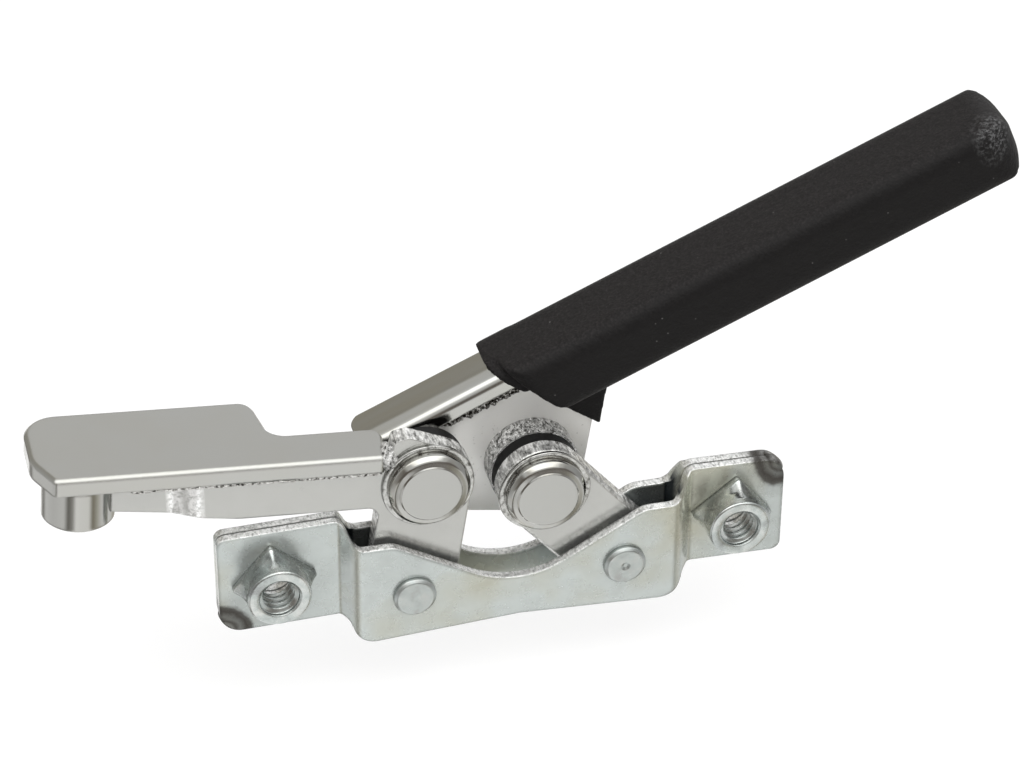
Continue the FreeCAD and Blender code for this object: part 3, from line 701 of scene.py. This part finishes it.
def cut_plate_chrome():
    """Plating over a sheared plate: bright faces, torn cut edges, painted highlight on the web's
    bends.
    """
    made = Finish("cut_plate_chrome")
    base = colours().chrome
    edge = made.ramp(made.facing(1), (0.55, 1.0), (0.85, 0.0))
    torn = made.noise(1500.0, 6.0, 0.65, made.stretched((1.0, 0.35, 1.0)))
    dark = made.ramp(torn, (0.35, (0.07, 0.068, 0.065)), (0.48, (0.42, 0.42, 0.41)),
                     (0.60, (0.90, 0.90, 0.885)))
    # Painted highlight: two gritty bright bands where the web's jog bends catch the light; the
    # link, at positive x, gets none.
    along = made.maths("MULTIPLY_ADD", made.part(made.place, "X"), 100.0, 5.8)
    bend_highlight_bands = made.ramp(along, (0.36, 0.0), (0.44, 0.9), (0.57, 1.0), (0.66, 0.40),
                        (0.74, 1.0), (0.86, 0.9), (0.97, 0.0))
    highlight_grit = made.ramp(made.noise(1300.0, 4.0, 0.7), (0.40, 0.25), (0.55, 1.0))
    painted_bend_highlight = made.maths("MULTIPLY", made.maths("MULTIPLY", bend_highlight_bands, highlight_grit), 0.9)
    plain = made.blended(painted_bend_highlight, base, 1.0)
    made.colour(made.blended(edge, plain, dark))
    smooth = made.ramp(made.noise(420.0, 4.0), (0.3, 0.20), (0.75, 0.28))
    made.roughness(made.blended(edge, smooth, 0.12))
    made.join(made.ramp(edge, (0.0, 0.86), (1.0, 0.6)), made.shader.inputs["Metallic"])
    height = made.maths("ADD", made.maths("MULTIPLY", made.noise(170.0, 2.0), 0.06),
                        made.maths("MULTIPLY", torn, edge))
    made.bump(height, 0.75, 0.00026, 0.00045)
    return made.material


def lever_chrome():
    """Plating over the lever's side plate: a dull even sheen with a few specks of soot."""
    made = Finish("lever_chrome")
    cloud = made.noise(90.0, 3.0)
    tone = made.ramp(cloud, (0.35, (0.66, 0.655, 0.635)), (0.65, (0.69, 0.69, 0.675)))
    nicks = made.ramp(made.noise(1300.0, 5.0, 0.7), (0.30, 0.5), (0.36, 0.0))
    made.colour(made.blended(nicks, tone, (0.20, 0.19, 0.18)))
    made.roughness(made.ramp(made.noise(420.0, 4.0), (0.3, 0.34), (0.75, 0.44)))
    made.shader.inputs["Metallic"].default_value = 0.45
    made.bump(made.noise(900.0, 3.0), 0.10, 0.00008, 0.00045)
    return made.material


def rough_chrome():
    """Plating over the spacer rings and the arm's end bead: bright but torn all over."""
    made = Finish("rough_chrome")
    torn = made.noise(1900.0, 5.0, 0.7, made.stretched((1.0, 0.6, 1.0)))
    made.colour(made.ramp(torn, (0.40, (0.05, 0.048, 0.045)), (0.49, (0.45, 0.45, 0.44)),
                          (0.60, (0.90, 0.90, 0.89))))
    made.roughness(made.ramp(torn, (0.4, 0.40), (0.6, 0.14)))
    made.shader.inputs["Metallic"].default_value = 0.65
    made.bump(torn, 1.0, 0.00045)
    return made.material


def beaded(name, soot, metal):
    """A plated weld bead, with a share of soot in its hollows."""
    made = Finish(name)
    torn = made.noise(1900.0, 5.0, 0.75)
    made.colour(made.ramp(torn, (0.41 + soot, (0.010, 0.008, 0.006)),
                          (0.46 + soot, (0.20, 0.19, 0.17)), (0.52 + soot, (0.92, 0.92, 0.90))))
    made.roughness(made.ramp(torn, (0.35, 0.55), (0.6, 0.16)))
    made.shader.inputs["Metallic"].default_value = metal
    made.bump(torn, 1.0, 0.00030)
    return made.material


def weld_chrome():
    """Plating over the arm's seam: bright crests and a few dark pinholes."""
    return beaded("weld_chrome", 0.0, 0.8)


def sooty_weld():
    """Plating over the lever's weld: black pinholes and a few bright crests."""
    return beaded("sooty_weld", 0.07, 1.0)


def zinc_plate():
    """Clear zinc plating: cool grey with drifting warm tints and burnt arcs at two corners.

    The bends carry a painted warm, darker reflection; the cut edges are torn and bright, with a
    painted shade line where the plates meet; painted shade darkens the pockets' insides by the
    steps.
    """
    made = Finish("zinc_plate")
    cool, warm = colours().zinc, colours().zinc_tint
    drift = made.noise(48.0, 3.0, 0.55)
    tone = made.ramp(drift, (0.34, cool), (0.50, shaded(cool, 1.16)), (0.66, warm))
    tone = made.blended(0.10, tone, (0.40, 0.42, 0.41))
    grain = made.noise(260.0, 5.0, 0.6, made.stretched((1.0, 1.0, 4.0)))
    tone = made.blended(made.ramp(grain, (0.30, 0.16), (0.62, 0.0)), tone, (0.36, 0.38, 0.37))
    # Painted reflection: faces that turn sideways at the bends take a darker warm tint.
    bend_reflection_tint = made.ramp(made.facing(0), (0.10, 0.0), (0.40, 0.45), (0.75, 0.05))
    tone = made.blended(bend_reflection_tint, tone, (0.33, 0.315, 0.24))
    edge = made.ramp(made.facing(2), (0.45, 0.0), (0.75, 1.0))
    torn = made.noise(2600.0, 4.0, 0.7, made.stretched((1.0, 0.5, 1.0)))
    speckled = made.ramp(torn, (0.36, (0.34, 0.34, 0.33)), (0.47, (0.68, 0.69, 0.68)),
                         (0.57, (0.95, 0.95, 0.94)))
    inward = made.maths("ABSOLUTE", made.part(made.place, "Y"))
    # Painted shade: a dark line on the cut edges where the front and rear plates meet.
    seam = made.ramp(made.maths("MULTIPLY", inward, 1000.0), (0.10, 0.9), (0.24, 0.0))
    tone = made.blended(edge, tone, made.blended(seam, speckled, (0.05, 0.05, 0.045)))
    # Painted shade: near the pockets' ends the plates' inner faces turn almost black, except on the
    # cut edges.
    across = made.maths("SUBTRACT", made.part(made.place, "X"), BRACKET_MIDDLE)
    ends = made.ramp(made.maths("MULTIPLY", made.maths("ABSOLUTE", across), 20.0),
                     (0.37, 0.0), (0.44, 1.0), (0.545, 1.0), (0.56, 0.0))
    inside = made.ramp(made.maths("MULTIPLY", inward, 100.0), (0.245, 1.0), (0.262, 0.0))
    shade = made.maths("MULTIPLY", made.maths("MULTIPLY", ends, inside),
                       made.maths("SUBTRACT", 1.0, edge))
    tone = made.blended(made.maths("MULTIPLY", shade, 0.97), tone, (0.006, 0.010, 0.014))
    for corner in HEAT_MARKS:
        reach = made.distance(corner, (1.0, 0.35, 1.0))
        wobble = made.maths("MULTIPLY_ADD", made.noise(500.0, 3.0), 0.0016, -0.0008)
        ring = made.maths("MULTIPLY", made.maths("ADD", reach, wobble), 100.0)
        burnt = made.ramp(ring, (0.0, 0.85), (0.14, 0.98), (0.20, 0.72), (0.26, 0.98),
                          (0.32, 0.80), (0.42, 1.0), (0.50, 0.93), (0.58, 0.22), (0.85, 0.0))
        tone = made.blended(burnt, tone, colours().heat)
    made.colour(tone)
    made.roughness(made.ramp(made.noise(420.0, 5.0), (0.30, 0.20), (0.70, 0.32)))
    made.shader.inputs["Metallic"].default_value = 0.72
    height = made.maths("MULTIPLY_ADD", made.maths("MULTIPLY", torn, edge), 0.8,
                        made.maths("MULTIPLY", made.noise(700.0, 3.0), 0.10))
    made.bump(height, 0.40, 0.00014, 0.0008)
    return made.material


def zinc_hardware():
    """Brighter zinc on the nuts and the plain washers, with tool marks."""
    made = Finish("zinc_hardware")
    drift = made.noise(260.0, 5.0, 0.6)
    made.colour(made.ramp(drift, (0.30, (0.30, 0.31, 0.31)), (0.46, shaded(colours().zinc, 1.15)),
                          (0.70, (0.66, 0.67, 0.65))))
    made.roughness(made.ramp(made.noise(700.0, 5.0), (0.30, 0.16), (0.70, 0.34)))
    made.shader.inputs["Metallic"].default_value = 0.96
    made.bump(made.noise(900.0, 4.0, 0.6), 0.28, 0.00012)
    return made.material


def zinc_rivet():
    """Even grey zinc on the small rivets, cleaner than the nuts."""
    made = Finish("zinc_rivet")
    drift = made.noise(420.0, 5.0, 0.6)
    made.colour(made.ramp(drift, (0.32, (0.38, 0.39, 0.38)), (0.46, shaded(colours().zinc, 1.1)),
                          (0.70, (0.50, 0.515, 0.50))))
    made.roughness(made.ramp(made.noise(700.0, 5.0), (0.30, 0.26), (0.70, 0.40)))
    made.shader.inputs["Metallic"].default_value = 0.95
    made.bump(made.noise(900.0, 4.0, 0.6), 0.14, 0.00008)
    return made.material


def black_washer():
    """Black washers: a dull, slightly dusty face."""
    made = Finish("black_washer")
    base = colours().washer
    cloud = made.noise(700.0, 5.0, 0.6)
    made.colour(made.ramp(cloud, (0.40, base), (0.75, shaded(base, 2.2))))
    made.roughness(made.ramp(cloud, (0.3, 0.42), (0.7, 0.62)))
    made.shader.inputs["Specular IOR Level"].default_value = 0.18
    made.bump(cloud, 0.25, 0.00010)
    return made.material


def dipped_vinyl():
    """Dipped vinyl: black with painted shade on the sides facing front and back, a pebbled skin,
    stray pale specks and a rubbed patch at the tip.
    """
    made = Finish("dipped_vinyl")
    base = colours().vinyl
    skin = made.noise(2600.0, 3.0, 0.6)
    tone = made.ramp(skin, (0.32, shaded(base, 0.55)), (0.50, base), (0.68, shaded(base, 2.2)))
    # Painted shade: the faces turned front and back are darker than the top.
    side = made.ramp(made.facing(1), (0.45, 0.0), (0.80, 0.75))
    tone = made.blended(side, tone, shaded(base, 0.35))
    cells = made.node("ShaderNodeTexVoronoi", feature="F1")
    made.join(made.place, cells.inputs["Vector"])
    cells.inputs["Scale"].default_value = 520.0
    cells.inputs["Randomness"].default_value = 1.0
    speck = made.ramp(cells.outputs["Distance"], (0.045, 1.0), (0.085, 0.0))
    rare = made.ramp(made.noise(330.0, 2.0), (0.55, 0.0), (0.60, 0.7))
    tone = made.blended(made.maths("MULTIPLY", speck, rare), tone, (0.12, 0.115, 0.115))
    tip = made.distance(WORN_TIP, (1.0, 0.8, 0.7))
    worn = made.ramp(made.maths("MULTIPLY", tip, 100.0), (0.12, 1.0), (0.40, 0.0))
    scuff = made.ramp(made.noise(1500.0, 5.0, 0.7), (0.48, 0.0), (0.60, 1.0))
    patch = made.maths("MULTIPLY", worn, scuff)
    tone = made.blended(made.maths("MULTIPLY", patch, 0.8), tone, (0.09, 0.09, 0.092))
    made.colour(tone)
    dull = made.ramp(skin, (0.30, 0.50), (0.70, 0.68))
    made.roughness(made.blended(patch, dull, 0.30))
    made.shader.inputs["Specular IOR Level"].default_value = 0.19
    pebble = made.noise(800.0, 2.0)
    made.bump(made.maths("MULTIPLY_ADD", skin, 0.60, pebble), 0.80, 0.00022)
    return made.material


MAKERS = {maker.__name__: maker for maker in (
    satin_chrome, roof_chrome, rivet_chrome, ring_chrome, cut_plate_chrome, lever_chrome,
    rough_chrome, weld_chrome, sooty_weld, zinc_plate, zinc_hardware, zinc_rivet, black_washer,
    dipped_vinyl)}


def dress(name, *nodes):
    """Gives CAD nodes a finish."""
    for node in nodes:
        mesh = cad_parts[node].data
        mesh.materials.clear()
        mesh.materials.append(finish(name))


# Operators


class LATCH_OT_bracket(bpy.types.Operator):
    """Finish the bracket plates and draw their small rivets and corner beads"""
    bl_idname = "latch.bracket"
    bl_label = "Bracket"

    def execute(self, context):
        dress("zinc_plate", "front_bracket_plate", "rear_bracket_plate")
        dress("zinc_hardware", "arm_pivot_washers", "link_pivot_washers")
        left = corner_bead_grid(LEFT_CORNER, 190.0, 262.0, 31)
        right = corner_bead_grid(RIGHT_CORNER, 10.0, 82.0, 37)
        beads = joined_mesh(mesh_from_grid("corner_beads", left),
                            mesh_from_grid("right_bead", right))
        add_piece("corner_beads", beads, "zinc_plate", "bracket", ["ear_corner_welds"])
        for name, pivot, dimple in (("arm", ARM_PIVOT, 0.0), ("link", LINK_PIVOT, 0.24)):
            grid = turned_grid(small_rivet_corners(dimple), pivot, 96, 0.00003, 7)
            add_surface(name + "_small_rivet", grid, "zinc_rivet", "bracket",
                        [name + "_pivot_rivet"], "zinc")
        return {"FINISHED"}


class LATCH_OT_weld_nuts(bpy.types.Operator):
    """Draw the two weld nuts with their threads"""
    bl_idname = "latch.weld_nuts"
    bl_label = "Weld nuts"

    def execute(self, context):
        for side, x, turn in (("left", -HOLE_X, 49.0), ("right", HOLE_X, 38.5)):
            add_surface(side + "_threaded_nut", nut_grid(x, turn), "zinc_hardware", "bracket",
                        [side + "_weld_nut"], "zinc", close_rows=True)
        return {"FINISHED"}


class LATCH_OT_hook_arm(bpy.types.Operator):
    """Finish the hook arm and draw its seam bead and end weld"""
    bl_idname = "latch.hook_arm"
    bl_label = "Hook arm"

    def execute(self, context):
        dress("cut_plate_chrome", "hook_arm_web")
        dress("satin_chrome", "hook_arm_top_plate", "locating_boss")
        seam = bead_grid(SEAM_START, SEAM_END, sizes().seam_bead, 11, 0.24)
        add_surface("arm_seam_bead", swung(seam, ARM_RISE), "weld_chrome", "arm",
                    ["arm_seam_weld"], "chrome")
        blob = blob_grid(END_WELD, END_WELD_REACH, 5, 0.11)
        add_surface("arm_end_bead", swung(blob, ARM_RISE), "rough_chrome", "arm",
                    ["arm_end_weld"], "chrome")
        return {"FINISHED"}


class LATCH_OT_link(bpy.types.Operator):
    """Finish the link's bar"""
    bl_idname = "latch.link"
    bl_label = "Link"

    def execute(self, context):
        dress("cut_plate_chrome", "link_plate")
        return {"FINISHED"}


class LATCH_OT_large_rivets(bpy.types.Operator):
    """Draw the two large rivets and their thin front rings, and finish the rings behind"""
    bl_idname = "latch.large_rivets"
    bl_label = "Large rivets"

    def execute(self, context):
        for name, pivot, rear_head, seed in (("arm", ARM_LEVER_PIVOT, 4.4, 3),
                                             ("link", LINK_LEVER_PIVOT, 5.5, 9)):
            node = name + "_lever_"
            grid = turned_grid(large_rivet_corners(rear_head), pivot, 160, 0.00002, seed)
            add_surface(node + "pin", grid, "rivet_chrome", name, [node + "rivet"], "chrome")
            grid = turned_grid(ring_corners(), pivot, 160, 0.00006, seed + 1)
            add_surface(node + "flange", grid, "ring_chrome", name, [node + "front_washer"],
                        "chrome", caps=False)
            dress("rough_chrome", node + "spacer")
            dress("black_washer", node + "black_washer")
            dress("zinc_hardware", node + "rear_washer")
        return {"FINISHED"}


class LATCH_OT_lever(bpy.types.Operator):
    """Finish the lever's plates and draw the bead along the channel's lip"""
    bl_idname = "latch.lever"
    bl_label = "Lever"

    def execute(self, context):
        dress("lever_chrome", "lever_side_plate")
        dress("roof_chrome", "lever_handle")
        bead = bead_grid(LIP_START, LIP_END, sizes().lever_bead, 23, 0.22, pool=0.0011)
        add_surface("lever_lip_bead", swung(bead, LEVER_RISE), "sooty_weld", "lever",
                    ["lever_fillet_weld"], "chrome")
        return {"FINISHED"}


class LATCH_OT_vinyl_grip(bpy.types.Operator):
    """Round the vinyl coat as a dipped skin and finish it"""
    bl_idname = "latch.vinyl_grip"
    bl_label = "Vinyl grip"

    def execute(self, context):
        copy = merged_copy("vinyl_grip", "dipped_grip_shape")
        add_mouth(copy.data)
        remesh = copy.modifiers.new("Skin", "REMESH")
        remesh.mode = "VOXEL"
        remesh.voxel_size = sizes().coat_grain
        smooth = copy.modifiers.new("Flow", "SMOOTH")
        smooth.factor = 0.5
        smooth.iterations = sizes().coat_passes
        mesh = settled(copy, "dipped_grip")
        add_piece("dipped_grip", mesh, "dipped_vinyl", "lever", ["vinyl_grip"])
        return {"FINISHED"}


class LATCH_OT_stage(bpy.types.Operator):
    """Add the floor, the studio light and the camera"""
    bl_idname = "latch.stage"
    bl_label = "Stage"

    def execute(self, context):
        stage_floor()
        stage_world()
        stage_lamps()
        stage_camera()
        return {"FINISHED"}


def stage_floor():
    """A pale floor just below the bracket; polished metal mirrors the surround in its place."""
    half, height = 3.0, CAD_LOW.z - 0.012
    corners = [(-half, -half, height), (half, -half, height), (half, half, height),
               (-half, half, height)]
    mesh = bpy.data.meshes.new("studio_floor")
    mesh.from_pydata(corners, [], [(0, 1, 2, 3)])
    floor = bpy.data.objects.new("studio_floor", mesh)
    made = Finish("pale_floor")
    made.shader.inputs["Base Color"].default_value = opaque(0.86)
    made.shader.inputs["Roughness"].default_value = 0.9
    made.shader.inputs["Specular IOR Level"].default_value = 0.0
    paper = made.node("ShaderNodeEmission")
    paper.inputs["Strength"].default_value = 1.0
    path = made.node("ShaderNodeLightPath")
    seen = made.maths("MULTIPLY", path.outputs["Is Camera Ray"], 0.80)
    pale = made.either(seen, made.shader.outputs["BSDF"], paper.outputs[0])
    clear = made.node("ShaderNodeBsdfTransparent")
    made.join(made.either(path.outputs["Is Glossy Ray"], pale, clear.outputs[0]),
              made.output.inputs["Surface"])
    mesh.materials.append(made.material)
    bpy.context.scene.collection.objects.link(floor)


def stage_world():
    """Plain white to the camera, and to the metal a studio with bands of tone from left to right.

    One set of bands lies all round and a stronger one below. In front the surround is dark, its
    ceiling is white, and a brighter box hangs above and in front.
    """
    world = bpy.data.worlds.new("studio_surround")
    bpy.context.scene.world = world
    world.use_nodes = True
    made = Nodes(world.node_tree)
    direction = made.node("ShaderNodeTexCoord").outputs["Generated"]
    x, y, z = (made.part(direction, axis) for axis in "XYZ")
    across = made.maths("MULTIPLY_ADD", x, 0.5, 0.5)
    around = made.ramp(across, (0.0, (0.70, 0.70, 0.69)), (0.28, (0.50, 0.48, 0.43)),
                       (0.42, (0.56, 0.535, 0.48)), (0.54, (0.98, 0.98, 0.97)), (0.80, 1.0),
                       (1.0, 0.55))
    below = made.ramp(across, (0.0, (0.35, 0.35, 0.36)), (0.07, 1.0), (0.15, 1.1),
                      (0.22, (0.26, 0.25, 0.23)), (0.31, (0.55, 0.54, 0.52)), (0.38, 1.45),
                      (0.47, (1.36, 1.36, 1.35)), (0.65, (1.33, 1.33, 1.31)),
                      (0.73, (0.36, 0.33, 0.26)), (0.80, (0.70, 0.68, 0.60)), (0.87, 1.2),
                      (1.0, 0.55))
    front = made.step(y, -0.25, -0.65, 0.85)
    ceiling = made.step(made.maths("MULTIPLY_ADD", y, -0.4, z), 0.60, 0.80)
    seen = made.blended(front, around, (0.17, 0.14, 0.12))
    seen = made.blended(ceiling, seen, (1.0, 1.0, 0.99))
    seen = made.blended(made.step(z, -0.04, -0.22), seen, below)
    box = made.maths("MULTIPLY", made.step(z, 0.60, 0.78, 1.7), made.step(y, 0.02, -0.15))
    soft = made.node("ShaderNodeBackground")
    made.join(seen, soft.inputs["Color"])
    made.join(made.maths("ADD", box, 0.90), soft.inputs["Strength"])
    white = made.node("ShaderNodeBackground")
    white.inputs["Color"].default_value = opaque(1.0)
    white.inputs["Strength"].default_value = 1.0
    path = made.node("ShaderNodeLightPath")
    shown = made.either(path.outputs["Is Camera Ray"], soft.outputs[0], white.outputs[0])
    made.join(shown, made.node("ShaderNodeOutputWorld").inputs["Surface"])


def add_lamp(name, place, target, width, height, power):
    """A soft rectangular lamp that faces a point; polished metal doesn't mirror its outline."""
    data = bpy.data.lights.new(name, "AREA")
    data.shape = "RECTANGLE"
    data.size, data.size_y, data.energy = width, height, power
    lamp = bpy.data.objects.new(name, data)
    lamp.location = place
    lamp.rotation_mode = "QUATERNION"
    lamp.rotation_quaternion = (Vector(target) - Vector(place)).to_track_quat("-Z", "Y")
    lamp.visible_glossy = False
    bpy.context.scene.collection.objects.link(lamp)


def stage_lamps():
    """A large soft lamp above, one from the front left and a weak one from the right."""
    add_lamp("lamp_above", (-0.05, -0.20, 0.85), (0.0, 0.0, 0.0), 0.9, 0.7, 4.5)
    add_lamp("lamp_front_left", (-0.75, -0.75, 0.45), (0.0, 0.0, 0.01), 0.35, 0.5, 3.0)
    add_lamp("lamp_right", (0.85, -0.35, 0.35), (0.0, 0.0, 0.01), 0.4, 0.6, 2.0)


def stage_camera():
    """The photograph's view: a long lens from the front left, 34 degrees above the horizon."""
    azimuth, elevation = math.radians(CAMERA_AZIMUTH), math.radians(CAMERA_ELEVATION)
    roll = math.radians(CAMERA_ROLL)
    back = Vector((math.sin(azimuth) * math.cos(elevation),
                   -math.cos(azimuth) * math.cos(elevation), math.sin(elevation)))
    level = Vector((math.cos(azimuth), math.sin(azimuth), 0.0))
    upright = back.cross(level)
    right = level * math.cos(roll) + upright * math.sin(roll)
    up = upright * math.cos(roll) - level * math.sin(roll)
    data = bpy.data.cameras.new("photo_camera")
    data.sensor_width = SENSOR_WIDTH
    data.lens = SENSOR_WIDTH * LENS_PIXELS / PICTURE_PIXELS
    data.clip_start, data.clip_end = 0.01, 20.0
    camera = bpy.data.objects.new("photo_camera", data)
    place = back * CAMERA_DISTANCE + right * CAMERA_RIGHT + up * CAMERA_UP
    turn = Matrix((right, up, back)).transposed().to_4x4()
    camera.matrix_world = Matrix.Translation(place) @ turn
    bpy.context.scene.collection.objects.link(camera)
    bpy.context.scene.camera = camera
    bpy.context.scene.view_settings.view_transform = "Standard"


class LATCH_PT_panel(bpy.types.Panel):
    """Lists the latch's sizes, colours and pieces"""
    bl_idname = "LATCH_PT_panel"
    bl_label = "Latch"
    bl_space_type = "VIEW_3D"
    bl_region_type = "UI"
    bl_category = "Latch"

    def draw(self, context):
        layout = self.layout
        for group in (context.scene.latch_sizes, context.scene.latch_colours):
            box = layout.box()
            for name in group.__annotations__:
                box.prop(group, name)
        column = layout.column()
        for operator in OPERATORS:
            column.operator(operator.bl_idname)


OPERATORS = (
    LATCH_OT_bracket,
    LATCH_OT_weld_nuts,
    LATCH_OT_hook_arm,
    LATCH_OT_link,
    LATCH_OT_large_rivets,
    LATCH_OT_lever,
    LATCH_OT_vinyl_grip,
    LATCH_OT_stage,
)
CLASSES = (LatchSizes, LatchColours) + OPERATORS + (LATCH_PT_panel,)


def register():
    """Adds the classes and the scene's properties."""
    for cls in CLASSES:
        bpy.utils.register_class(cls)
    bpy.types.Scene.latch_sizes = bpy.props.PointerProperty(type=LatchSizes)
    bpy.types.Scene.latch_colours = bpy.props.PointerProperty(type=LatchColours)


def unregister():
    """Removes them again."""
    del bpy.types.Scene.latch_colours
    del bpy.types.Scene.latch_sizes
    for cls in reversed(CLASSES):
        bpy.utils.unregister_class(cls)


def main():
    """Registers the add-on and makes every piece."""
    register()
    bpy.ops.latch.bracket()
    bpy.ops.latch.weld_nuts()
    bpy.ops.latch.hook_arm()
    bpy.ops.latch.link()
    bpy.ops.latch.large_rivets()
    bpy.ops.latch.lever()
    bpy.ops.latch.vinyl_grip()
    bpy.ops.latch.stage()
    bpy.context.view_layer.update()


if __name__ == "__main__":
    main()
